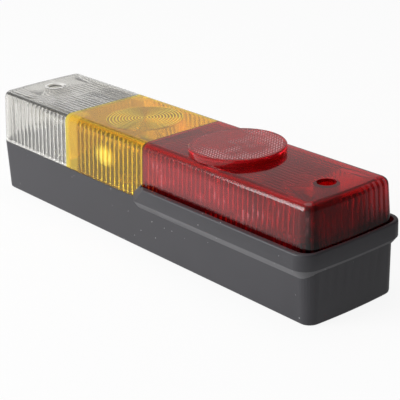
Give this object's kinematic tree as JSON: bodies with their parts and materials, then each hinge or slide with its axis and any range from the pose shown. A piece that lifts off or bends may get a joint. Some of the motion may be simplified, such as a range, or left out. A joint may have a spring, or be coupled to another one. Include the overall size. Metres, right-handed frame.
{
  "type": "tail light cluster",
  "caption": "Oblong rear lamp cluster with clear, amber and red lens sections on a black moulded body, and a round red reflector.",
  "frame": {"origin": "middle of the flat back, midway between the two fixing holes", "axes": "+X along the lamp towards the red end, +Z out of the lens, -Y the long side that faces the camera in the picture"},
  "size_m": [0.3064, 0.0768, 0.0732],
  "materials": {
    "black_plastic": "satin moulded black plastic",
    "clear_plastic": "clear moulded plastic",
    "amber_plastic": "transparent amber moulded plastic",
    "red_plastic": "transparent red moulded plastic",
    "reflector_plastic": "prismatic red plastic",
    "rubber": "black rubber",
    "plated_steel": "zinc-plated steel",
    "brass": "stamped brass",
    "bulb_glass": "clear bulb glass on a metal cap",
    "fibre_board": "brown insulating board",
    "white_plastic": "white moulded plastic"
  },
  "bodies": {
    "root": {"housing": "black_plastic", "clear_lens": "clear_plastic", "amber_lens": "amber_plastic", "red_lens": "red_plastic", "reflex_reflector": "reflector_plastic", "lens_seal": "rubber", "lens_screws": "plated_steel", "screw_washers": "rubber", "reversing_holder": "plated_steel", "indicator_holder": "plated_steel", "stop_holder": "plated_steel", "reversing_bulb": "bulb_glass", "indicator_bulb": "bulb_glass", "stop_bulb": "bulb_glass", "contact_discs": "fibre_board", "contact_springs": "plated_steel", "contact_pins": "brass", "holder_screws": "plated_steel", "reversing_strip": "brass", "indicator_strip": "brass", "stop_strip": "brass", "tail_strip": "brass", "earth_strip": "brass", "terminal_block": "white_plastic", "terminal_clamps": "brass", "terminal_screws": "plated_steel", "cable_grommet": "rubber"}
  },
  "joints": []
}
